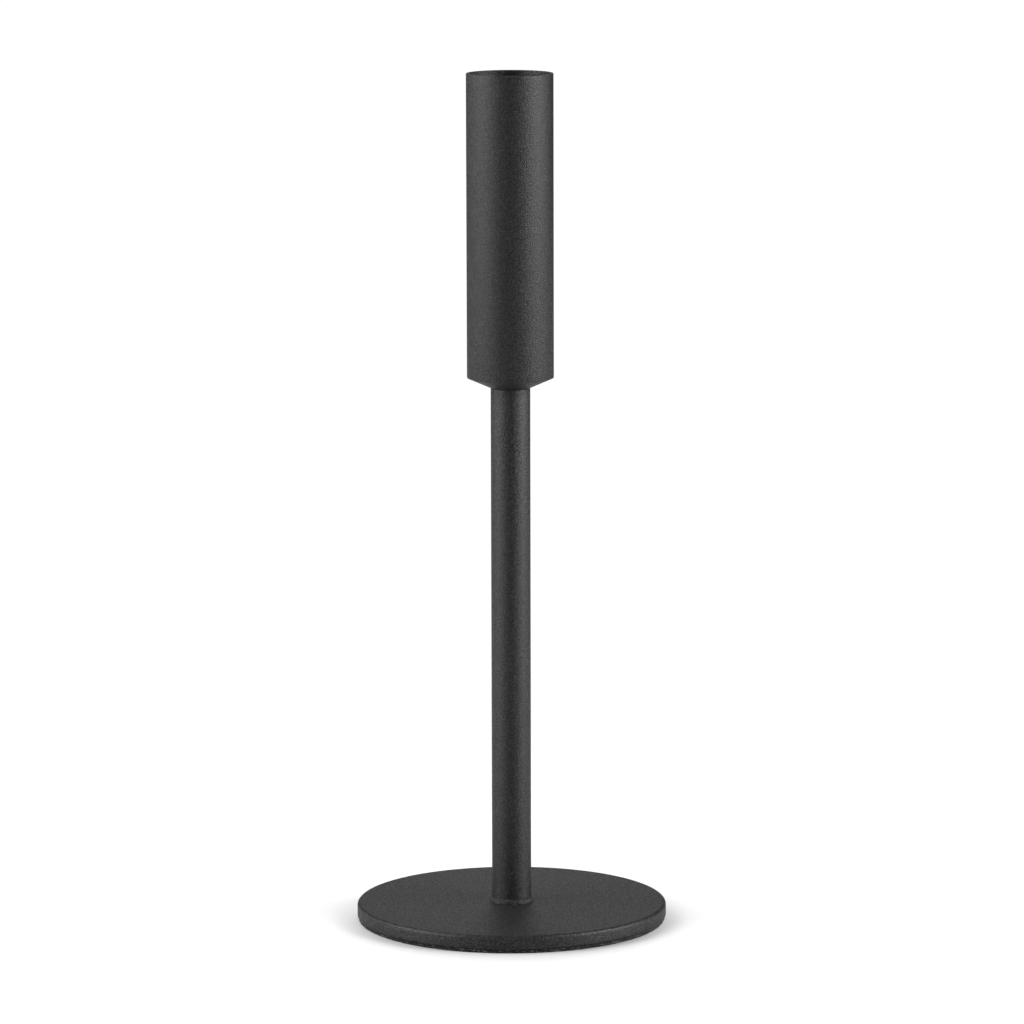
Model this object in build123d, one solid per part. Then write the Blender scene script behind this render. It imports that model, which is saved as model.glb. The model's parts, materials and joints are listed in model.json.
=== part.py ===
from build123d import *
import os

# Taper candle holder: a round foot plate on a felt pad, a thin stem and a tubular candle cup.
# Millimetres, +Z up. The origin is the middle of the felt's underside, on the table.

# Foot plate
base_diameter = 90.0
plate_thickness = 4.0
plate_top_edge_radius = 1.0
plate_bottom_edge_radius = 0.4
plate_hole_diameter = 6.0

# Felt pad and the film that holds it
pad_thickness = 1.0
pad_inset = 0.3  # how far the felt stays inside the plate's side
pad_edge_radius = 0.2
adhesive_thickness = 0.1
adhesive_inset = 0.6  # how far the film stays inside the felt's edge

# Stem
stem_length = 150.9
stem_diameter = 11.4
stem_wall = 1.2

# Weld round the foot of the stem
bead_width = 0.65
bead_height = 1.4
bead_hollow = 0.12  # how far the bead's face curves in from a straight slope

# Plug in the foot of the stem
foot_plug_length = 10.0
foot_plug_lead = 0.5  # chamfer that starts the plug in the tube
foot_nose_recess = 0.3  # the nose stops this far above the plate's underside
vent_diameter = 2.0

# Candle cup: its socket is bored wider than the rest of the tube, to suit the candle
candle_diameter = 22.0
candle_clearance = 0.5  # on the radius
candle_depth = 30.0
rim_wall = 1.0
rim_edge_radius = 0.25
cup_length = 87.4
socket_step = 0.5  # how much narrower the tube is below the socket, on the radius

# Disc pressed into the tube, flush with the foot of the socket
stop_thickness = 1.5
stop_hole_diameter = 6.4  # the screw's key passes through it

# Cone plug that closes the cup from below
cone_height = 3.0
plug_spigot_length = 6.0
plug_spigot_lead = 0.5
neck_spigot_length = 2.0
neck_spigot_gap = 0.05

# Screw, washer and threaded insert that join the cup to the stem
thread_diameter = 6.0  # the thread is a plain cylinder of its nominal diameter
screw_length = 25.0
screw_head_diameter = 10.0
screw_head_height = 6.0
screw_head_edge = 0.6
socket_across_flats = 5.0
socket_depth = 3.0
screw_tip_chamfer = 0.6
screw_hole_gap = 0.2  # on the radius, in the cone plug
washer_diameter = 10.6
washer_thickness = 1.6
washer_split = 0.8
washer_split_slant = 20.0  # degrees
insert_length = 12.0
insert_recess = 0.5  # below the cone plug's lower spigot
insert_lead = 0.5

# Heights up the axis
plate_bottom = pad_thickness + adhesive_thickness
plate_top = plate_bottom + plate_thickness
stem_top = plate_top + stem_length
cup_bottom = stem_top + cone_height
rim_top = cup_bottom + cup_length
socket_floor = rim_top - candle_depth
neck_spigot_bottom = stem_top - neck_spigot_length
insert_top = neck_spigot_bottom - insert_recess
plug_top = cup_bottom + plug_spigot_length
washer_top = plug_top + washer_thickness

# Radii
plate_radius = base_diameter / 2
pad_radius = plate_radius - pad_inset
stem_radius = stem_diameter / 2
stem_bore_radius = stem_radius - stem_wall
socket_radius = candle_diameter / 2 + candle_clearance
cup_radius = socket_radius + rim_wall
cup_bore_radius = socket_radius - socket_step
thread_radius = thread_diameter / 2
plate_hole_radius = plate_hole_diameter / 2
vent_radius = vent_diameter / 2

same_edge_gap = 1e-4  # an edge closer than this to a wanted height and radius is the wanted one


def disc(radius, low, high):
    """Solid cylinder on the axis between two heights."""
    return Pos(0, 0, low) * Cylinder(radius, high - low, align=(Align.CENTER, Align.CENTER, Align.MIN))


def turned(*outline):
    """Solid of revolution about the axis, from (radius, height) points in order."""
    return revolve(make_face(Plane.XZ * Polyline(*outline, close=True)), Axis.Z)


def edges_at(solid, height, radius):
    """Circular edges of a turned solid at one height and radius."""
    found = []
    for edge in solid.edges().filter_by(GeomType.CIRCLE):
        height_gap = abs(edge.center(CenterOf.BOUNDING_BOX).Z - height)
        if max(height_gap, abs(edge.radius - radius)) < same_edge_gap:
            found.append(edge)
    return found


def make_base_pad():
    pad = disc(pad_radius, 0, pad_thickness)
    return fillet(edges_at(pad, 0, pad_radius), pad_edge_radius)


def make_pad_adhesive():
    return disc(pad_radius - adhesive_inset, pad_thickness, plate_bottom)


def make_base_plate():
    plate = disc(plate_radius, plate_bottom, plate_top)
    plate = fillet(edges_at(plate, plate_top, plate_radius), plate_top_edge_radius)
    plate = fillet(edges_at(plate, plate_bottom, plate_radius), plate_bottom_edge_radius)
    return plate - disc(plate_hole_radius, plate_bottom, plate_top)


def make_stem_foot_plug():
    nose_bottom = plate_bottom + foot_nose_recess
    plug_end = plate_top + foot_plug_length
    plug = turned(
        (vent_radius, nose_bottom),
        (plate_hole_radius, nose_bottom),
        (plate_hole_radius, plate_top),
        (stem_bore_radius, plate_top),
        (stem_bore_radius, plug_end),
        (vent_radius, plug_end),
    )
    return chamfer(edges_at(plug, plug_end, stem_bore_radius), foot_plug_lead)


def make_foot_weld_bead():
    corner = Vector(stem_radius, plate_top)
    toe = corner + Vector(bead_width, 0)
    crest = corner + Vector(0, bead_height)
    inward = Vector(-bead_height, -bead_width).normalized() * bead_hollow
    face = ThreePointArc(toe, (toe + crest) / 2 + inward, crest)
    section = Curve([Line(corner, toe), face, Line(crest, corner)])
    return revolve(make_face(Plane.XZ * section), Axis.Z)


def make_stem_tube():
    return disc(stem_radius, plate_top, stem_top) - disc(stem_bore_radius, plate_top, stem_top)


def make_stem_head_insert():
    bottom = insert_top - insert_length
    insert = disc(stem_bore_radius, bottom, insert_top)
    insert = chamfer(edges_at(insert, bottom, stem_bore_radius), insert_lead)
    insert -= disc(thread_radius, bottom, insert_top)
    return chamfer(edges_at(insert, insert_top, thread_radius), insert_lead)


def make_cup_cone_plug():
    neck_radius = stem_bore_radius - neck_spigot_gap
    hole_radius = thread_radius + screw_hole_gap
    plug = turned(
        (hole_radius, neck_spigot_bottom),
        (neck_radius, neck_spigot_bottom),
        (neck_radius, stem_top),
        (stem_radius, stem_top),
        (cup_radius, cup_bottom),
        (cup_bore_radius, cup_bottom),
        (cup_bore_radius, plug_top),
        (hole_radius, plug_top),
    )
    return chamfer(edges_at(plug, plug_top, cup_bore_radius), plug_spigot_lead)


def make_lock_washer():
    washer = disc(washer_diameter / 2, plug_top, washer_top)
    washer -= disc(thread_radius + screw_hole_gap, plug_top, washer_top)
    cutter = Box(washer_diameter, washer_split, washer_diameter)
    split_place = Pos(washer_diameter / 2, 0, plug_top + washer_thickness / 2)
    return washer - split_place * Rot(washer_split_slant, 0, 0) * cutter


def make_cup_screw():
    tip = washer_top - screw_length
    head_top = washer_top + screw_head_height
    head_radius = screw_head_diameter / 2
    screw = turned(
        (0, tip),
        (thread_radius, tip),
        (thread_radius, washer_top),
        (head_radius, washer_top),
        (head_radius, head_top),
        (0, head_top),
    )
    screw = chamfer(edges_at(screw, tip, thread_radius), screw_tip_chamfer)
    screw = fillet(edges_at(screw, head_top, head_radius), screw_head_edge)
    hexagon = RegularPolygon(socket_across_flats / 2, 6, major_radius=False)
    return screw - extrude(Pos(0, 0, head_top) * hexagon, -socket_depth)


def make_cup_tube():
    tube = turned(
        (cup_bore_radius, cup_bottom),
        (cup_radius, cup_bottom),
        (cup_radius, rim_top),
        (socket_radius, rim_top),
        (socket_radius, socket_floor),
        (cup_bore_radius, socket_floor),
    )
    rim_edges = edges_at(tube, rim_top, cup_radius) + edges_at(tube, rim_top, socket_radius)
    return fillet(rim_edges, rim_edge_radius)


def make_candle_stop():
    underside = socket_floor - stop_thickness
    stop = disc(cup_bore_radius, underside, socket_floor)
    return stop - disc(stop_hole_diameter / 2, underside, socket_floor)


def main():
    parts = {
        "base_pad": make_base_pad(),
        "pad_adhesive": make_pad_adhesive(),
        "base_plate": make_base_plate(),
        "stem_foot_plug": make_stem_foot_plug(),
        "foot_weld_bead": make_foot_weld_bead(),
        "stem_tube": make_stem_tube(),
        "stem_head_insert": make_stem_head_insert(),
        "cup_cone_plug": make_cup_cone_plug(),
        "lock_washer": make_lock_washer(),
        "cup_screw": make_cup_screw(),
        "cup_tube": make_cup_tube(),
        "candle_stop": make_candle_stop(),
    }
    os.makedirs("parts", exist_ok=True)
    for name, part in parts.items():
        export_step(part, f"parts/{name}.step")


main()
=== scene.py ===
import json
import math
import random

import bmesh
import bpy
from mathutils import Matrix, Vector, noise


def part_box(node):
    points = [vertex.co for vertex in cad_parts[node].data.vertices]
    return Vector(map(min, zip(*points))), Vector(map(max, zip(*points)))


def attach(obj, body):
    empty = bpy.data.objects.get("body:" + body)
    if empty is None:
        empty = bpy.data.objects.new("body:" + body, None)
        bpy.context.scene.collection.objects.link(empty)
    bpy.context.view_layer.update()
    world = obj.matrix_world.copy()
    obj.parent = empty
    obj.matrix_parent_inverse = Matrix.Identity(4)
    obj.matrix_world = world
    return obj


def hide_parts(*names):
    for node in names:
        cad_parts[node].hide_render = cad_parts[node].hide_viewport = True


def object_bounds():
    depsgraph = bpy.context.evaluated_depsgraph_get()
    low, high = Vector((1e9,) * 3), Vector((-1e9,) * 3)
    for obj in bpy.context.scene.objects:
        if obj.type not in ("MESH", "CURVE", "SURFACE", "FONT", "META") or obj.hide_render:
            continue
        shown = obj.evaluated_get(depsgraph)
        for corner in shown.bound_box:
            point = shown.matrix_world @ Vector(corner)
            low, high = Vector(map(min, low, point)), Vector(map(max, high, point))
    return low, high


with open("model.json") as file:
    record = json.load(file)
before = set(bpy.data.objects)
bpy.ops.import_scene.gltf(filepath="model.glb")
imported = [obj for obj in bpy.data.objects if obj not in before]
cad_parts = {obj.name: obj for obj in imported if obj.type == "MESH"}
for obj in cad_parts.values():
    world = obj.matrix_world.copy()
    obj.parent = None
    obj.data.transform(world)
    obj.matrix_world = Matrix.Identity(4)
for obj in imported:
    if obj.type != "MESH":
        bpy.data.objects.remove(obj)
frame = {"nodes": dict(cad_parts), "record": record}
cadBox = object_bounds()
mm = 0.001
print("frame loaded")


# the view: a long lens, a little above the cup's rim, tipped down and very slightly rolled

view = {
    "lens": 184.5,
    "sensor": 36.0,
    "distance": 1496 * mm,
    "height": 355.1 * mm,
    "side": 0.36 * mm,
    "pitchDown": 8.938,
    "roll": -0.14,
}


def makeCamera():
    data = bpy.data.cameras.new("viewCamera")
    data.lens = view["lens"]
    data.sensor_width = view["sensor"]
    data.clip_start, data.clip_end = 0.05, 50
    camera = bpy.data.objects.new("viewCamera", data)
    bpy.context.scene.collection.objects.link(camera)
    tip = Matrix.Rotation(math.radians(90 - view["pitchDown"]), 4, "X")
    roll = Matrix.Rotation(math.radians(view["roll"]), 4, "Z")
    place = Matrix.Translation((view["side"], -view["distance"], view["height"]))
    camera.matrix_world = place @ tip @ roll
    bpy.context.scene.camera = camera


makeCamera()
print("camera set")


# small helpers that the pieces share

def reach(node):
    low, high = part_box(node)
    return high.x  # outer radius of a round node


def innerReach(node):
    points = frame["nodes"][node].data.vertices
    return min(math.hypot(p.co.x, p.co.y) for p in points)


def span(node):
    low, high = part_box(node)
    return low.z, high.z


def rounded(corners, steps=6):
    # corners are (radius, height, rounding) in order round a closed outline
    outline = []
    count = len(corners)
    for i in range(count):
        r, z, rounding = corners[i]
        here = Vector((r, z))
        back = Vector(corners[i - 1][:2]) - here
        ahead = Vector(corners[(i + 1) % count][:2]) - here
        if rounding <= 0:
            outline.append((r, z))
            continue
        back.normalize()
        ahead.normalize()
        half = back.angle(ahead) / 2
        middle = here + (back + ahead).normalized() * rounding / math.sin(half)
        first = here + back * rounding / math.tan(half) - middle
        last = here + ahead * rounding / math.tan(half) - middle
        turn = first.angle_signed(last)
        for k in range(steps + 1):
            angle = -turn * k / steps
            c, s = math.cos(angle), math.sin(angle)
            spoke = Vector((first.x * c - first.y * s, first.x * s + first.y * c))
            outline.append(tuple(middle + spoke))
    return outline


def turned(name, rows, segments, ring=True, sharpAngle=35):
    # each row is (radius, height), or a function of the angle that gives one
    bm = bmesh.new()
    loops = []
    for row in rows:
        if not callable(row) and abs(row[0]) < 1e-9:
            loops.append([bm.verts.new((0, 0, row[1]))])
            continue
        loop = []
        for i in range(segments):
            angle = 2 * math.pi * i / segments
            r, z = row(angle) if callable(row) else row
            loop.append(bm.verts.new((r * math.cos(angle), r * math.sin(angle), z)))
        loops.append(loop)
    pairs = list(zip(loops, loops[1:]))
    if ring:
        pairs.append((loops[-1], loops[0]))
    for a, b in pairs:
        for i in range(segments):
            j = (i + 1) % segments
            corners = []
            for v in (a[i % len(a)], a[j % len(a)], b[j % len(b)], b[i % len(b)]):
                if v not in corners:
                    corners.append(v)
            if len(corners) > 2:
                bm.faces.new(corners)
    return finishMesh(name, bm, sharpAngle)


def finishMesh(name, bm, sharpAngle):
    bmesh.ops.recalc_face_normals(bm, faces=bm.faces)
    for face in bm.faces:
        face.smooth = True
    for edge in bm.edges:
        edge.smooth = len(edge.link_faces) == 2 and edge.calc_face_angle() < math.radians(sharpAngle)
    mesh = bpy.data.meshes.new(name)
    bm.to_mesh(mesh)
    bm.free()
    piece = bpy.data.objects.new(name, mesh)
    bpy.context.scene.collection.objects.link(piece)
    return piece


def fit(piece, node, material):
    piece.data.materials.clear()
    piece.data.materials.append(material)
    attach(piece, "root")
    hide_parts(node)
    return piece


def newMaterial(name):
    material = bpy.data.materials.new(name)
    material.use_nodes = True
    tree = material.node_tree
    shader = next(n for n in tree.nodes if n.type == "BSDF_PRINCIPLED")
    return material, tree, shader


def addNode(tree, kind, **values):
    node = tree.nodes.new(kind)
    for key, value in values.items():
        if hasattr(node, key):
            setattr(node, key, value)
        else:
            node.inputs[key.replace("_", " ")].default_value = value
    return node


def newGroup(name, inputs, outputs):
    # inputs are (socket name, default) pairs; every socket carries a plain number
    tree = bpy.data.node_groups.new(name, "ShaderNodeTree")
    for label, default in inputs:
        socket = tree.interface.new_socket(label, in_out="INPUT", socket_type="NodeSocketFloat")
        socket.default_value = default
    for label in outputs:
        tree.interface.new_socket(label, in_out="OUTPUT", socket_type="NodeSocketFloat")
    return tree, tree.nodes.new("NodeGroupInput"), tree.nodes.new("NodeGroupOutput")


# shared surface effects

def coatGrainGroup():
    # fine texture of a baked powder coat: granules, soft orange peel and a few coarser specks
    tree, given, out = newGroup(
        "coatGrain",
        [("Granule Size", 0.28), ("Peel Size", 1.6), ("Speck Share", 0.02), ("Peel Height", 0.4)],
        ["Height", "Granules", "Specks"],
    )
    link = tree.links.new
    place = addNode(tree, "ShaderNodeTexCoord")

    def scaleFor(sizeSocket):
        node = addNode(tree, "ShaderNodeMath", operation="DIVIDE")
        node.inputs[0].default_value = 1 / mm
        link(given.outputs[sizeSocket], node.inputs[1])
        return node

    fine = addNode(tree, "ShaderNodeTexNoise", Detail=2.0, Roughness=0.6)
    link(place.outputs["Object"], fine.inputs["Vector"])
    link(scaleFor("Granule Size").outputs[0], fine.inputs["Scale"])
    cells = addNode(tree, "ShaderNodeTexVoronoi")
    link(place.outputs["Object"], cells.inputs["Vector"])
    link(scaleFor("Granule Size").outputs[0], cells.inputs["Scale"])
    peel = addNode(tree, "ShaderNodeTexNoise", Detail=1.0)
    link(place.outputs["Object"], peel.inputs["Vector"])
    link(scaleFor("Peel Size").outputs[0], peel.inputs["Scale"])
    domes = addNode(tree, "ShaderNodeMapRange")
    domes.inputs["From Max"].default_value = 0.7
    domes.inputs["To Min"].default_value = 0.6
    domes.inputs["To Max"].default_value = 0.0
    link(cells.outputs["Distance"], domes.inputs["Value"])
    granules = addNode(tree, "ShaderNodeMath", operation="MULTIPLY_ADD")
    granules.inputs[1].default_value = 0.9
    link(fine.outputs["Fac"], granules.inputs[0])
    link(domes.outputs["Result"], granules.inputs[2])
    height = addNode(tree, "ShaderNodeMath", operation="MULTIPLY_ADD")
    link(peel.outputs["Fac"], height.inputs[0])
    link(given.outputs["Peel Height"], height.inputs[1])
    link(granules.outputs[0], height.inputs[2])
    link(height.outputs[0], out.inputs["Height"])
    link(granules.outputs[0], out.inputs["Granules"])
    rare = addNode(tree, "ShaderNodeTexVoronoi")
    link(place.outputs["Object"], rare.inputs["Vector"])
    rare.inputs["Scale"].default_value = 0.9 / mm
    picked = addNode(tree, "ShaderNodeSeparateColor")
    link(rare.outputs["Color"], picked.inputs[0])
    chosen = addNode(tree, "ShaderNodeMath", operation="LESS_THAN")
    link(picked.outputs[0], chosen.inputs[0])
    link(given.outputs["Speck Share"], chosen.inputs[1])
    close = addNode(tree, "ShaderNodeMath", operation="LESS_THAN")
    link(rare.outputs["Distance"], close.inputs[0])
    close.inputs[1].default_value = 0.16
    specks = addNode(tree, "ShaderNodeMath", operation="MULTIPLY")
    link(chosen.outputs[0], specks.inputs[0])
    link(close.outputs[0], specks.inputs[1])
    link(specks.outputs[0], out.inputs["Specks"])
    return tree


coatGrain = coatGrainGroup()


def powderCoat(name, look):
    material, tree, shader = newMaterial(name)
    link = tree.links.new
    grain = addNode(tree, "ShaderNodeGroup", node_tree=coatGrain)
    grain.inputs["Granule Size"].default_value = look["granuleSize"]
    grain.inputs["Peel Size"].default_value = look["peelSize"]
    grain.inputs["Peel Height"].default_value = look["peelHeight"]
    grain.inputs["Speck Share"].default_value = look["speckShare"]
    tint = addNode(tree, "ShaderNodeValToRGB")
    tint.color_ramp.elements[0].position = look["tintFrom"]
    tint.color_ramp.elements[0].color = (*look["darkColor"], 1)
    tint.color_ramp.elements[1].position = look["tintTo"]
    tint.color_ramp.elements[1].color = (*look["lightColor"], 1)
    link(grain.outputs["Granules"], tint.inputs["Fac"])
    dusted = addNode(tree, "ShaderNodeMix", data_type="RGBA")
    link(grain.outputs["Specks"], dusted.inputs["Factor"])
    link(tint.outputs["Color"], dusted.inputs["A"])
    dusted.inputs["B"].default_value = (*look["speckColor"], 1)
    link(dusted.outputs["Result"], shader.inputs["Base Color"])
    gloss = addNode(tree, "ShaderNodeMapRange")
    gloss.inputs["From Min"].default_value = look["tintFrom"]
    gloss.inputs["From Max"].default_value = look["tintTo"]
    gloss.inputs["To Min"].default_value = look["roughHigh"]
    gloss.inputs["To Max"].default_value = look["roughLow"]
    link(grain.outputs["Granules"], gloss.inputs["Value"])
    link(gloss.outputs["Result"], shader.inputs["Roughness"])
    relief = addNode(tree, "ShaderNodeBump")
    relief.inputs["Strength"].default_value = look["reliefStrength"]
    relief.inputs["Distance"].default_value = look["reliefDepth"] * mm
    link(grain.outputs["Height"], relief.inputs["Height"])
    link(relief.outputs["Normal"], shader.inputs["Normal"])
    shader.inputs["IOR"].default_value = look["ior"]
    shader.inputs["Specular IOR Level"].default_value = look["specular"]
    return material


coatLook = {
    "granuleSize": 0.36,
    "peelSize": 1.6,
    "peelHeight": 0.4,
    "speckShare": 0.10,
    "tintFrom": 0.5,
    "tintTo": 0.95,
    "darkColor": (0.001, 0.001, 0.001),
    "lightColor": (0.034, 0.034, 0.034),
    "speckColor": (0.07, 0.07, 0.07),
    "roughHigh": 0.54,
    "roughLow": 0.38,
    "reliefStrength": 1.0,
    "reliefDepth": 0.1,
    "ior": 1.5,
    "specular": 0.5,
}

# the weld bead wears the same black powder coat as the stem, with coarser grain and rougher gloss; its
# lighter granule tint is a painted highlight, where the fillet catches the light
weldLookWithPaintedHighlight = dict(
    coatLook, granuleSize=0.42, peelSize=0.9, peelHeight=0.9,
    lightColor=(0.045, 0.045, 0.045), roughHigh=0.7, roughLow=0.55,
)
blackCoat = powderCoat("blackPowderCoat", coatLook)
weldCoatWithPaintedHighlight = powderCoat("weldPowderCoatPaintedHighlight", weldLookWithPaintedHighlight)
# the foot plate wears the same powder coat with larger granules; its lighter granule tint is painted light,
# a lit copy of the coat that brightens the plate where light falls on its top
plateLookPaintedLit = dict(coatLook, granuleSize=0.48, lightColor=(0.043, 0.043, 0.043))
plateCoatPaintedLit = powderCoat("platePowderCoatPaintedLit", plateLookPaintedLit)


def toolMarksGroup():
    # fine rings left by the lathe, or the die of the thread, with a little uneven brightness
    tree, given, out = newGroup(
        "toolMarks", [("Ring Spacing", 0.2), ("Mottle Size", 2.0)], ["Height", "Mottle"]
    )
    link = tree.links.new
    place = addNode(tree, "ShaderNodeTexCoord")
    apart = addNode(tree, "ShaderNodeSeparateXYZ")
    link(place.outputs["Object"], apart.inputs[0])
    count = addNode(tree, "ShaderNodeMath", operation="DIVIDE")
    link(apart.outputs["Z"], count.inputs[0])
    spacing = addNode(tree, "ShaderNodeMath", operation="MULTIPLY")
    spacing.inputs[1].default_value = mm
    link(given.outputs["Ring Spacing"], spacing.inputs[0])
    link(spacing.outputs[0], count.inputs[1])
    rings = addNode(tree, "ShaderNodeTexNoise", noise_dimensions="1D", Scale=1.0, Detail=3.0)
    link(count.outputs[0], rings.inputs["W"])
    link(rings.outputs["Fac"], out.inputs["Height"])
    size = addNode(tree, "ShaderNodeMath", operation="DIVIDE")
    size.inputs[0].default_value = 1 / mm
    link(given.outputs["Mottle Size"], size.inputs[1])
    mottle = addNode(tree, "ShaderNodeTexNoise", Detail=4.0)
    link(place.outputs["Object"], mottle.inputs["Vector"])
    link(size.outputs[0], mottle.inputs["Scale"])
    link(mottle.outputs["Fac"], out.inputs["Mottle"])
    return tree


toolMarks = toolMarksGroup()


def bareSteel(name, look):
    material, tree, shader = newMaterial(name)
    link = tree.links.new
    marks = addNode(tree, "ShaderNodeGroup", node_tree=toolMarks)
    marks.inputs["Ring Spacing"].default_value = look["ringSpacing"]
    marks.inputs["Mottle Size"].default_value = look["mottleSize"]
    tint = addNode(tree, "ShaderNodeValToRGB")
    tint.color_ramp.elements[0].position, tint.color_ramp.elements[1].position = 0.3, 0.7
    tint.color_ramp.elements[0].color = (*look["darkColor"], 1)
    tint.color_ramp.elements[1].color = (*look["lightColor"], 1)
    link(marks.outputs["Mottle"], tint.inputs["Fac"])
    link(tint.outputs["Color"], shader.inputs["Base Color"])
    gloss = addNode(tree, "ShaderNodeMapRange")
    gloss.inputs["From Min"].default_value, gloss.inputs["From Max"].default_value = 0.3, 0.7
    gloss.inputs["To Min"].default_value, gloss.inputs["To Max"].default_value = look["roughness"]
    link(marks.outputs["Mottle"], gloss.inputs["Value"])
    link(gloss.outputs["Result"], shader.inputs["Roughness"])
    relief = addNode(tree, "ShaderNodeBump")
    relief.inputs["Strength"].default_value = look["reliefStrength"]
    relief.inputs["Distance"].default_value = 0.02 * mm
    link(marks.outputs["Height"], relief.inputs["Height"])
    link(relief.outputs["Normal"], shader.inputs["Normal"])
    shader.inputs["Metallic"].default_value = 1.0
    return material


zincPlate = bareSteel("zincPlate", {
    "ringSpacing": 0.5, "mottleSize": 0.9, "reliefStrength": 0.25, "roughness": (0.28, 0.42),
    "darkColor": (0.50, 0.52, 0.55), "lightColor": (0.66, 0.67, 0.66),
})
turnedSteel = bareSteel("turnedSteel", {
    "ringSpacing": 0.12, "mottleSize": 2.5, "reliefStrength": 0.6, "roughness": (0.30, 0.46),
    "darkColor": (0.38, 0.37, 0.36), "lightColor": (0.50, 0.49, 0.48),
})


def makeFelt():
    material, tree, shader = newMaterial("darkFelt")
    link = tree.links.new
    place = addNode(tree, "ShaderNodeTexCoord")
    stretch = addNode(tree, "ShaderNodeMapping")
    stretch.inputs["Scale"].default_value = (1, 1, 2.2)  # the fibres lie flat
    link(place.outputs["Object"], stretch.inputs["Vector"])
    tangle = addNode(tree, "ShaderNodeTexNoise", Scale=1.6 / mm, Detail=6.0, Roughness=0.7, Distortion=1.2)
    link(stretch.outputs["Vector"], tangle.inputs["Vector"])
    strands = addNode(tree, "ShaderNodeTexVoronoi", feature="DISTANCE_TO_EDGE", Scale=1.1 / mm)
    link(stretch.outputs["Vector"], strands.inputs["Vector"])
    blend = addNode(tree, "ShaderNodeMath", operation="ADD")
    link(tangle.outputs["Fac"], blend.inputs[0])
    link(strands.outputs["Distance"], blend.inputs[1])
    tint = addNode(tree, "ShaderNodeValToRGB")
    tint.color_ramp.elements[0].position, tint.color_ramp.elements[1].position = 0.4, 1.0
    tint.color_ramp.elements[0].color = (*feltLook["darkColor"], 1)
    tint.color_ramp.elements[1].color = (*feltLook["lightColor"], 1)
    link(blend.outputs[0], tint.inputs["Fac"])
    link(tint.outputs["Color"], shader.inputs["Base Color"])
    relief = addNode(tree, "ShaderNodeBump")
    relief.inputs["Strength"].default_value = 0.9
    relief.inputs["Distance"].default_value = 0.15 * mm
    link(blend.outputs[0], relief.inputs["Height"])
    link(relief.outputs["Normal"], shader.inputs["Normal"])
    shader.inputs["Roughness"].default_value = 0.95
    shader.inputs["Specular IOR Level"].default_value = 0.15
    shader.inputs["Sheen Weight"].default_value = feltLook["sheen"]
    shader.inputs["Sheen Roughness"].default_value = 0.5
    return material


feltLook = {"darkColor": (0.008, 0.008, 0.008), "lightColor": (0.045, 0.045, 0.046), "sheen": 0.12}
darkFelt = makeFelt()


def plainFibrous(name, darkColor, lightColor, grainSize, roughness):
    material, tree, shader = newMaterial(name)
    place = addNode(tree, "ShaderNodeTexCoord")
    grain = addNode(tree, "ShaderNodeTexNoise", Scale=1 / (grainSize * mm), Detail=3.0)
    tree.links.new(place.outputs["Object"], grain.inputs["Vector"])
    tint = addNode(tree, "ShaderNodeValToRGB")
    tint.color_ramp.elements[0].position, tint.color_ramp.elements[1].position = 0.35, 0.65
    tint.color_ramp.elements[0].color = (*darkColor, 1)
    tint.color_ramp.elements[1].color = (*lightColor, 1)
    tree.links.new(grain.outputs["Fac"], tint.inputs["Fac"])
    tree.links.new(tint.outputs["Color"], shader.inputs["Base Color"])
    shader.inputs["Roughness"].default_value = roughness
    return material


lint = plainFibrous("feltLint", (0.05, 0.05, 0.05), (0.42, 0.41, 0.39), 3.0, 0.9)
adhesiveFilm = plainFibrous("adhesiveFilm", (0.66, 0.61, 0.48), (0.76, 0.72, 0.60), 3.0, 0.4)
print("materials made")


# the foot plate, with a softly rolled top edge

plateParts = {"topRounding": 1.0 * mm, "bottomRounding": 0.4 * mm, "segments": 256}


def makeBasePlate():
    low, high = span("base_plate")
    r, hole = reach("base_plate"), innerReach("base_plate")
    outline = rounded([
        (hole, low, 0),
        (r, low, plateParts["bottomRounding"]),
        (r, high, plateParts["topRounding"]),
        (hole, high, 0),
    ], 10)
    piece = turned("basePlate", outline, plateParts["segments"])
    return fit(piece, "base_plate", plateCoatPaintedLit)


# the felt under it: a punched disc whose edge is a little ragged, with loose fibres along it

padParts = {
    "segments": 420,
    "raggedness": 0.28 * mm,
    "edgeRounding": 0.22 * mm,
    "fibreCount": 760,
    "fibreThickness": 0.035 * mm,
    "fibreLength": (0.4 * mm, 1.5 * mm),
    "fibreRoot": 0.12 * mm,  # how far inside the felt's edge the fibres start
    "fibreLowest": 0.05 * mm,
    "fibreHighest": 0.3 * mm,  # above the felt, against the plate's side
    "fibreSteps": 5,
    "fibreCurl": 0.35,
    "fibreSeed": 11,
}


def makeBasePad():
    low, high = span("base_pad")
    r = reach("base_pad")
    outline = rounded([
        (0.3 * r, low, 0),
        (r, low, padParts["edgeRounding"]),
        (r, high, padParts["edgeRounding"] * 0.6),
        (0.3 * r, high, 0),
    ], 4)

    def ragged(corner):
        def place(angle):
            spot = Vector((math.cos(angle), math.sin(angle), corner[1] / r))
            lumps = noise.noise(spot * 26) * 0.6 + noise.noise(spot * 90) * 0.4
            pull = (corner[0] / r) ** 8 * padParts["raggedness"]
            return corner[0] - pull * (0.5 + 0.5 * lumps), corner[1]
        return place

    rows = [(0, low)] + [ragged(corner) for corner in outline] + [(0, high)]
    piece = turned("basePad", rows, padParts["segments"], ring=False)
    fit(piece, "base_pad", darkFelt)
    return piece


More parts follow.
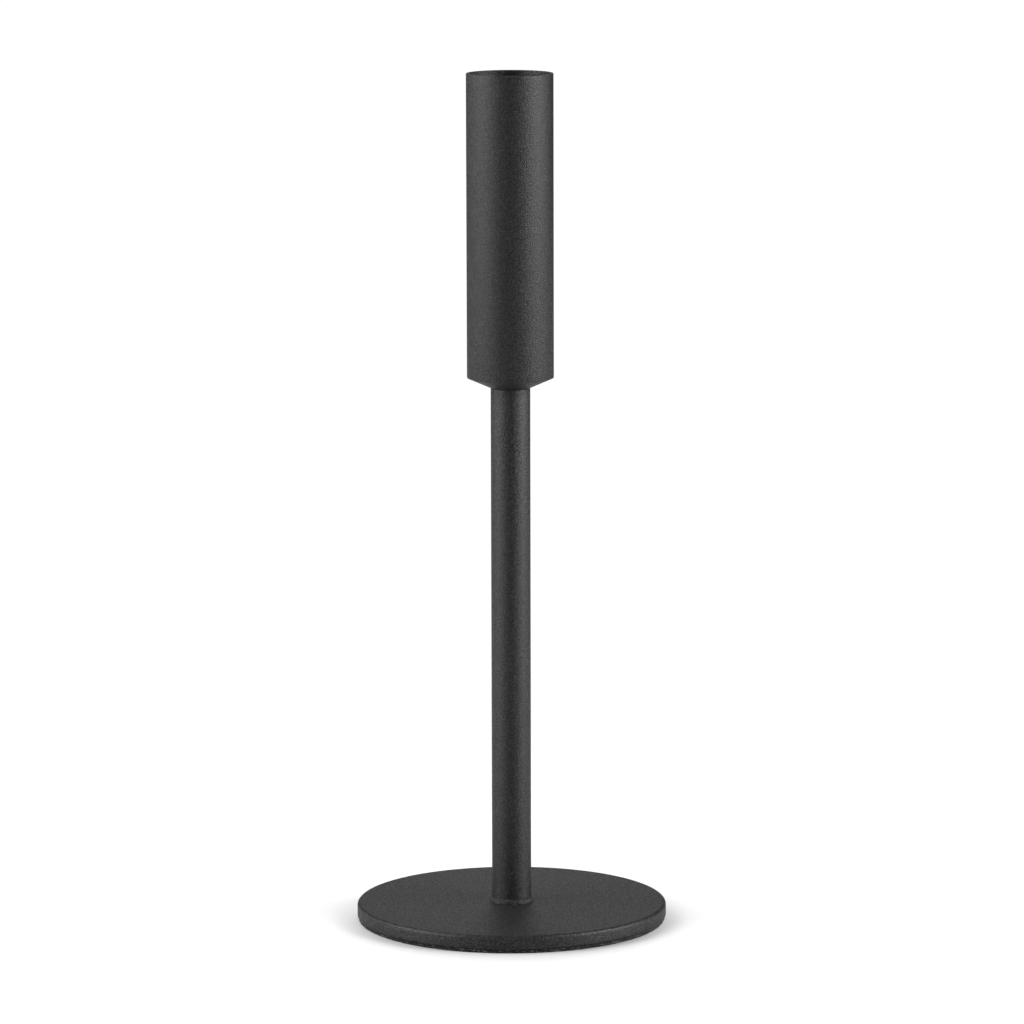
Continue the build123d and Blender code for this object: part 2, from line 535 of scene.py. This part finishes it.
def addFibre(bm, path, thickness):
    loops = []
    for i, spot in enumerate(path):
        ahead = (path[min(i + 1, len(path) - 1)] - path[max(i - 1, 0)]).normalized()
        side = ahead.orthogonal().normalized()
        third = ahead.cross(side)
        thin = thickness * (1 - 0.6 * i / (len(path) - 1))
        loop = []
        for k in range(4):
            angle = math.pi * k / 2
            loop.append(bm.verts.new(spot + (side * math.cos(angle) + third * math.sin(angle)) * thin))
        loops.append(loop)
    for a, b in zip(loops, loops[1:]):
        for k in range(4):
            bm.faces.new((a[k], a[(k + 1) % 4], b[(k + 1) % 4], b[k]))
    bm.faces.new(loops[0][::-1])
    bm.faces.new(loops[-1])


def makePadFibres():
    low, high = span("base_pad")
    r = reach("base_pad") - padParts["fibreRoot"]
    dice = random.Random(padParts["fibreSeed"])
    bm = bmesh.new()
    shortest, longest = padParts["fibreLength"]
    for _ in range(padParts["fibreCount"]):
        angle = dice.uniform(0, 2 * math.pi)
        out = Vector((math.cos(angle), math.sin(angle), 0))
        along = Vector((-out.y, out.x, 0))
        length = dice.uniform(shortest, longest)
        spot = out * r + Vector((0, 0, dice.uniform(low + 0.15 * mm, high - 0.1 * mm)))
        heading = (out * dice.uniform(0.15, 0.7) + along * dice.choice((-1, 1))
                   + Vector((0, 0, dice.uniform(-0.35, 0.35)))).normalized()
        curl = Vector((dice.uniform(-1, 1), dice.uniform(-1, 1), dice.uniform(-0.5, 0.5)))
        curl *= padParts["fibreCurl"]
        path = [spot]
        for _ in range(padParts["fibreSteps"]):
            heading = (heading + curl * 0.5 - out * 0.12).normalized()  # bends back to the edge
            spot = spot + heading * length / padParts["fibreSteps"]
            spot.z = min(max(spot.z, low + padParts["fibreLowest"]), high + padParts["fibreHighest"])
            path.append(spot)
        addFibre(bm, path, padParts["fibreThickness"])
    piece = finishMesh("padFibres", bm, 60)
    piece.data.materials.append(lint)
    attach(piece, "root")
    return piece


# the stem and the uneven weld round its foot, coated over

stemParts = {"segments": 160, "endRounding": 0.12 * mm}
weldParts = {
    "segments": 220,
    "faceRows": 9,
    "width": 0.62 * mm,
    "height": 1.35 * mm,
    "lumpWidth": 0.26 * mm,
    "lumpHeight": 0.4 * mm,
    "ripple": 0.04 * mm,
    "leastWidth": 0.25 * mm,
    "leastHeight": 0.5 * mm,
    "hollow": 1.15,  # above 1 the face curves in
    "overlap": 0.02 * mm,
    "depth": 0.3 * mm,  # how far the weld reaches into the stem
}


def makeStemTube():
    low, high = span("stem_tube")
    r, bore = reach("stem_tube"), innerReach("stem_tube")
    edge = stemParts["endRounding"]
    outline = rounded([(bore, low, 0), (r, low, 0), (r, high, edge), (bore, high, edge)], 4)
    piece = turned("stemTube", outline, stemParts["segments"])
    return fit(piece, "stem_tube", blackCoat)


def makeFootWeldBead():
    low = span("foot_weld_bead")[0]
    r = reach("stem_tube") - weldParts["overlap"]

    def weave(angle, scale, shift):
        return noise.noise(Vector((math.cos(angle) * scale, math.sin(angle) * scale, shift)))

    def faceRow(share):
        def place(angle):
            lumps = weave(angle, 2.6, 3.1) * 0.6 + weave(angle, 6.5, 8.4) * 0.5
            width = weldParts["width"] + weldParts["lumpWidth"] * lumps
            peaks = lumps * 0.6 + weave(angle, 4.2, 21) * 0.7
            height = weldParts["height"] + weldParts["lumpHeight"] * peaks
            swing = share * math.pi / 2
            out = max(width, weldParts["leastWidth"]) * math.cos(swing) ** weldParts["hollow"]
            up = max(height, weldParts["leastHeight"]) * math.sin(swing) ** weldParts["hollow"]
            ripple = weldParts["ripple"] * weave(angle, 15, share * 3) * math.sin(2 * swing)
            return r + out + ripple, low + up + ripple
        return place

    inside = r - weldParts["depth"]
    rows = [(inside, low)]
    rows += [faceRow(i / weldParts["faceRows"]) for i in range(weldParts["faceRows"] + 1)]
    rows += [(inside, low + weldParts["height"])]
    piece = turned("footWeldBead", rows, weldParts["segments"], sharpAngle=50)
    return fit(piece, "foot_weld_bead", weldCoatWithPaintedHighlight)


# the turned cone that closes the cup from below

coneParts = {"segments": 192, "neckRounding": 0.15 * mm, "rimRounding": 0.015 * mm,
             "lead": 0.5 * mm, "spigotGap": 0.05 * mm}


def makeCupConePlug():
    low, high = span("cup_cone_plug")
    hole = innerReach("cup_cone_plug")
    neckTop = span("stem_tube")[1]
    cupFoot = span("cup_tube")[0]
    stem, cup = reach("stem_tube"), reach("cup_tube")
    spigot = innerReach("stem_tube") - coneParts["spigotGap"]
    upper = innerReach("cup_tube")
    lead = coneParts["lead"]
    outline = rounded([
        (hole, low, 0),
        (spigot, low, 0),
        (spigot, neckTop, 0),
        (stem, neckTop, coneParts["neckRounding"]),
        (cup, cupFoot, coneParts["rimRounding"]),
        (upper, cupFoot, 0),
        (upper, high - lead, 0),
        (upper - lead, high, 0),
        (hole, high, 0),
    ], 5)
    piece = turned("cupConePlug", outline, coneParts["segments"], sharpAngle=28)
    return fit(piece, "cup_cone_plug", blackCoat)


# the cup: a thin-rimmed socket for the candle, bored narrower below the candle stop

cupParts = {"rimRounding": 0.25 * mm, "footRounding": 0.1 * mm, "segments": 224}


def makeCupTube():
    low, high = span("cup_tube")
    r, bore = reach("cup_tube"), innerReach("cup_tube")
    socket = frame["record"]["mounts"][0]
    socketRadius = socket["dims"]["r_mm"] * mm
    socketFloor = socket["pos_m"][2]
    outline = rounded([
        (bore, low, 0),
        (r, low, cupParts["footRounding"]),
        (r, high, cupParts["rimRounding"]),
        (socketRadius, high, cupParts["rimRounding"]),
        (socketRadius, socketFloor, 0),
        (bore, socketFloor, 0),
    ])
    piece = turned("cupTube", outline, cupParts["segments"])
    return fit(piece, "cup_tube", blackCoat)


stopParts = {"segments": 160, "edgeRounding": 0.15 * mm, "holeRounding": 0.3 * mm}


def makeCandleStop():
    low, high = span("candle_stop")
    r, hole = reach("candle_stop"), innerReach("candle_stop")
    edge, inner = stopParts["edgeRounding"], stopParts["holeRounding"]
    outline = rounded([(hole, low, inner), (r, low, edge), (r, high, edge), (hole, high, inner)], 5)
    piece = turned("candleStop", outline, stopParts["segments"])
    return fit(piece, "candle_stop", blackCoat)


# inside: the screw that pulls the cup down on the stem, its spring washer and its threaded bush

screwParts = {
    "pitch": 1.0 * mm,
    "threadDepth": 0.6 * mm,
    "rowsPerTurn": 8,
    "segments": 96,
    "fadeLength": 1.2 * mm,
    "runningGap": 0.04 * mm,
    "acrossFlats": 5.0 * mm,
    "socketDepth": 3.0 * mm,
    "headRounding": 0.6 * mm,
    "knurls": 32,
    "knurlDepth": 0.12 * mm,
    "crestCut": 0.02 * mm,  # the crests are rolled a little under size
    "flatShare": 0.12,  # of a turn, at crest and root
}


def threadRadius(z, angle, crest, depth):
    turn = (z / screwParts["pitch"] - angle / (2 * math.pi)) % 1
    flank = 1 - abs(2 * turn - 1)
    flat = screwParts["flatShare"]
    return crest - depth * min(max((flank - flat) / (1 - 2 * flat), 0), 1)


def threadRows(bottom, top, crest, depth, widen=0):
    step = screwParts["pitch"] / screwParts["rowsPerTurn"]
    count = round((top - bottom) / step)
    rows = []
    for i in range(count + 1):
        z = bottom + (top - bottom) * i / count
        fade = min((z - bottom) / screwParts["fadeLength"], 1, (top - z) / screwParts["fadeLength"] + 0.02)

        def place(angle, z=z, fade=max(fade, 0.05)):
            return threadRadius(z, angle, crest, depth * fade) + widen, z
        rows.append(place)
    return rows


def makeCupScrew():
    tip, top = span("cup_screw")
    head = reach("cup_screw")
    under = span("lock_washer")[1]
    shank = innerReach("stem_head_insert")
    edge = screwParts["headRounding"]
    half = screwParts["acrossFlats"] / 2
    floor = top - screwParts["socketDepth"]

    def knurled(z, depth):
        return lambda angle: (head - depth * (0.5 + 0.5 * math.cos(screwParts["knurls"] * angle)), z)

    def hexagon(z, grow=0):
        def place(angle):
            turn = (angle + math.pi / 6) % (math.pi / 3) - math.pi / 6
            return (half + grow) / math.cos(turn), z
        return place

    crest = shank - screwParts["crestCut"]
    rows = [(0, tip), (shank - 0.8 * mm, tip), (shank - 0.55 * mm, tip + 0.25 * mm)]
    rows += threadRows(tip + 0.3 * mm, under - 1.5 * mm, crest, screwParts["threadDepth"])
    rows += [(crest, under - 0.01 * mm), (head - 0.25 * mm, under)]
    rows += [(head, under + 0.25 * mm), (head, under + 0.5 * mm)]
    rows += [knurled(z, screwParts["knurlDepth"]) for z in (under + 0.8 * mm, top - 1.5 * mm)]
    rows += [(head, top - 1.2 * mm), (head, top - edge)]
    for i in range(1, 7):
        swing = math.pi / 2 * i / 6
        rows.append((head - edge * (1 - math.cos(swing)), top - edge * (1 - math.sin(swing))))
    rows += [hexagon(top, 0.25 * mm), hexagon(top - 0.25 * mm), hexagon(floor), (0, floor - 0.6 * mm)]
    piece = turned("cupScrew", rows, screwParts["segments"], ring=False, sharpAngle=32)
    return fit(piece, "cup_screw", zincPlate)


washerParts = {"steps": 120, "slant": 20, "gap": 0.8 * mm, "edge": 0.12 * mm}


def makeLockWasher():
    low, high = span("lock_washer")
    outer, inner = reach("lock_washer"), innerReach("lock_washer")
    outline = rounded([(inner, low, washerParts["edge"]), (outer, low, washerParts["edge"]),
                       (outer, high, washerParts["edge"]), (inner, high, washerParts["edge"])], 3)
    slant = math.tan(math.radians(washerParts["slant"]))
    middle = (low + high) / 2
    bm = bmesh.new()
    loops = []
    for i in range(washerParts["steps"] + 1):
        share = i / washerParts["steps"]
        loop = []
        for r, z in outline:
            half = math.asin(washerParts["gap"] / 2 / r)
            lean = math.asin(max(min(slant * (z - middle) / r, 1), -1))
            angle = lean + half + (2 * math.pi - 2 * half) * share
            loop.append(bm.verts.new((r * math.cos(angle), r * math.sin(angle), z)))
        loops.append(loop)
    for a, b in zip(loops, loops[1:]):
        for k in range(len(outline)):
            j = (k + 1) % len(outline)
            bm.faces.new((a[k], a[j], b[j], b[k]))
    bm.faces.new(loops[0])
    bm.faces.new(loops[-1][::-1])
    piece = finishMesh("lockWasher", bm, 35)
    return fit(piece, "lock_washer", zincPlate)


insertParts = {"segments": 96, "lead": 0.5 * mm, "grooves": (3, 0.25 * mm, 0.8 * mm)}  # count, depth, width


def grooved(r, bottom, top, count, depth, width):
    rows = []
    for i in range(count):
        z = bottom + (top - bottom) * (i + 1) / (count + 1)
        rows += [(r, z - width / 2), (r - depth, z - width / 4)]
        rows += [(r - depth, z + width / 4), (r, z + width / 2)]
    return rows


def makeStemHeadInsert():
    low, high = span("stem_head_insert")
    r, bore = reach("stem_head_insert"), innerReach("stem_head_insert")
    lead = insertParts["lead"]
    widen = screwParts["runningGap"]
    rows = [(r - lead, low), (r, low + lead)]
    rows += grooved(r, low + lead, high, *insertParts["grooves"])
    rows += [(r, high), (bore + lead, high)]
    crest = bore - screwParts["crestCut"]
    rows += threadRows(low, high - lead, crest, screwParts["threadDepth"], widen)[::-1]
    piece = turned("stemHeadInsert", rows, insertParts["segments"])
    return fit(piece, "stem_head_insert", turnedSteel)


plugParts = {"segments": 96, "lead": 0.5 * mm, "edge": 0.2 * mm, "grooves": (2, 0.25 * mm, 0.9 * mm)}


def makeStemFootPlug():
    low, high = span("stem_foot_plug")
    r, vent = reach("stem_foot_plug"), innerReach("stem_foot_plug")
    shoulder, nose = span("base_plate")[1], innerReach("base_plate")
    lead = plugParts["lead"]
    edge = plugParts["edge"]
    rows = [(vent + edge, low), (nose - edge, low), (nose, low + edge), (nose, shoulder), (r, shoulder)]
    rows += grooved(r, shoulder, high - lead, *plugParts["grooves"])
    rows += [(r, high - lead), (r - lead, high)]
    rows += [(vent + edge, high), (vent, high - edge), (vent, low + edge)]
    piece = turned("stemFootPlug", rows, plugParts["segments"])
    return fit(piece, "stem_foot_plug", turnedSteel)


def dressAdhesive():
    film = frame["nodes"]["pad_adhesive"]
    film.data.materials.clear()
    film.data.materials.append(adhesiveFilm)


makeBasePlate()
makeBasePad()
makePadFibres()
dressAdhesive()
print("foot made")
makeStemFootPlug()
makeFootWeldBead()
makeStemTube()
makeStemHeadInsert()
print("stem made")
makeCupConePlug()
makeLockWasher()
makeCupScrew()
makeCandleStop()
makeCupTube()
print("cup made")


# plain pale floor and soft studio light

studio = {
    "floorSize": 1.8,
    "floorColor": (0.8, 0.8, 0.8),
    "bounceColor": (0.5, 0.5, 0.5),  # what the object gets back from the floor
    "whiteFrom": (0.10, 0.30),  # beyond this the floor fades to plain white, as far as the view goes
    "backdrop": 1.02,
    "ambient": 0.0,
    # azimuth from the front, positive to the right; power in watts
    "lights": {
        "leftFront": {"azimuth": -60, "elevation": 18, "distance": 1.08, "size": (0.28, 0.8), "power": 4.7},
        "leftMiddle": {"azimuth": -75, "elevation": 18, "distance": 1.08, "size": (0.28, 0.8), "power": 2.1},
        "leftRear": {"azimuth": -90, "elevation": 18, "distance": 1.08, "size": (0.28, 0.8), "power": 4.1},
        "leftHigh": {"azimuth": -90, "elevation": 50, "distance": 1.08, "size": (0.5, 0.6), "power": 2.9},
        "leftBack": {"azimuth": -130, "elevation": 18, "distance": 1.08, "size": (0.5, 0.8), "power": 1.0},
        "rightFront": {"azimuth": 60, "elevation": 18, "distance": 1.08, "size": (0.28, 0.8), "power": 3.1},
        "rightMiddle": {"azimuth": 75, "elevation": 18, "distance": 1.08, "size": (0.28, 0.8), "power": 7.4},
        "rightRear": {"azimuth": 90, "elevation": 18, "distance": 1.08, "size": (0.28, 0.8), "power": 3.9},
        "backLow": {"azimuth": 180, "elevation": 18, "distance": 1.3, "size": (0.6, 0.8), "power": 0.9},
        "backHigh": {"azimuth": 180, "elevation": 50, "distance": 1.2, "size": (1.2, 0.6), "power": 0.8},
    },
    # these two reach the floor only, and shape the soft shadow round the foot
    "floorLights": {
        "floorTop": {"azimuth": 180, "elevation": 50, "distance": 1.2, "size": (2.0, 0.8), "power": 9},
        "floorBack": {"azimuth": 180, "elevation": 18, "distance": 1.4, "size": (2.0, 0.7), "power": 18},
    },
}


def makeFloor():
    bm = bmesh.new()
    bmesh.ops.create_grid(bm, x_segments=2, y_segments=2, size=studio["floorSize"] / 2)
    floor = finishMesh("studioFloor", bm, 35)
    material = bpy.data.materials.new("paleFloor")
    material.use_nodes = True
    tree = material.node_tree
    tree.nodes.clear()
    output = addNode(tree, "ShaderNodeOutputMaterial")
    seen = addNode(tree, "ShaderNodeLightPath")
    choose = addNode(tree, "ShaderNodeMixShader")
    paper = addNode(tree, "ShaderNodeBsdfDiffuse")
    paper.inputs["Color"].default_value = (*studio["floorColor"], 1)
    bounce = addNode(tree, "ShaderNodeBsdfDiffuse")
    bounce.inputs["Color"].default_value = (*studio["bounceColor"], 1)
    tree.links.new(seen.outputs["Is Camera Ray"], choose.inputs[0])
    tree.links.new(bounce.outputs[0], choose.inputs[1])
    place = addNode(tree, "ShaderNodeTexCoord")
    away = addNode(tree, "ShaderNodeVectorMath", operation="LENGTH")
    tree.links.new(place.outputs["Object"], away.inputs[0])
    far = addNode(tree, "ShaderNodeMapRange")
    far.inputs["From Min"].default_value, far.inputs["From Max"].default_value = studio["whiteFrom"]
    tree.links.new(away.outputs["Value"], far.inputs["Value"])
    white = addNode(tree, "ShaderNodeEmission", Strength=studio["backdrop"])
    both = addNode(tree, "ShaderNodeMixShader")
    tree.links.new(far.outputs["Result"], both.inputs[0])
    tree.links.new(paper.outputs[0], both.inputs[1])
    tree.links.new(white.outputs[0], both.inputs[2])
    tree.links.new(both.outputs[0], choose.inputs[2])
    tree.links.new(choose.outputs[0], output.inputs["Surface"])
    floor.data.materials.append(material)
    return floor


def makeLight(name, place):
    data = bpy.data.lights.new(name, "AREA")
    data.shape = "RECTANGLE"
    data.size, data.size_y = place["size"]
    data.energy = place["power"]
    light = bpy.data.objects.new(name, data)
    bpy.context.scene.collection.objects.link(light)
    azimuth, elevation = math.radians(place["azimuth"]), math.radians(place["elevation"])
    away = Vector((
        math.sin(azimuth) * math.cos(elevation),
        -math.cos(azimuth) * math.cos(elevation),
        math.sin(elevation),
    ))
    middle = Vector((0, 0, (cadBox[0].z + cadBox[1].z) / 2))
    light.location = middle + away * place["distance"]
    light.rotation_euler = away.to_track_quat("Z", "Y").to_euler()
    light.visible_camera = False
    return light


def makeWorld():
    world = bpy.data.worlds.new("studioAir")
    bpy.context.scene.world = world
    world.use_nodes = True
    tree = world.node_tree
    backdrop = next(n for n in tree.nodes if n.type == "BACKGROUND")
    output = next(n for n in tree.nodes if n.type == "OUTPUT_WORLD")
    backdrop.inputs["Color"].default_value = (1, 1, 1, 1)
    backdrop.inputs["Strength"].default_value = studio["backdrop"]
    ambient = addNode(tree, "ShaderNodeBackground")
    ambient.inputs["Color"].default_value = (1, 1, 1, 1)
    ambient.inputs["Strength"].default_value = studio["ambient"]
    seen = addNode(tree, "ShaderNodeLightPath")
    choose = addNode(tree, "ShaderNodeMixShader")
    tree.links.new(seen.outputs["Is Camera Ray"], choose.inputs[0])
    tree.links.new(ambient.outputs[0], choose.inputs[1])
    tree.links.new(backdrop.outputs[0], choose.inputs[2])
    tree.links.new(choose.outputs[0], output.inputs["Surface"])


floor = makeFloor()
floorOnly = bpy.data.collections.new("floorOnly")
bpy.context.scene.collection.children.link(floorOnly)
floorOnly.objects.link(floor)
for name, place in studio["lights"].items():
    makeLight(name, place)
for name, place in studio["floorLights"].items():
    makeLight(name, place).light_linking.receiver_collection = floorOnly
makeWorld()
bpy.context.scene.view_settings.view_transform = "Standard"
print("studio lit")
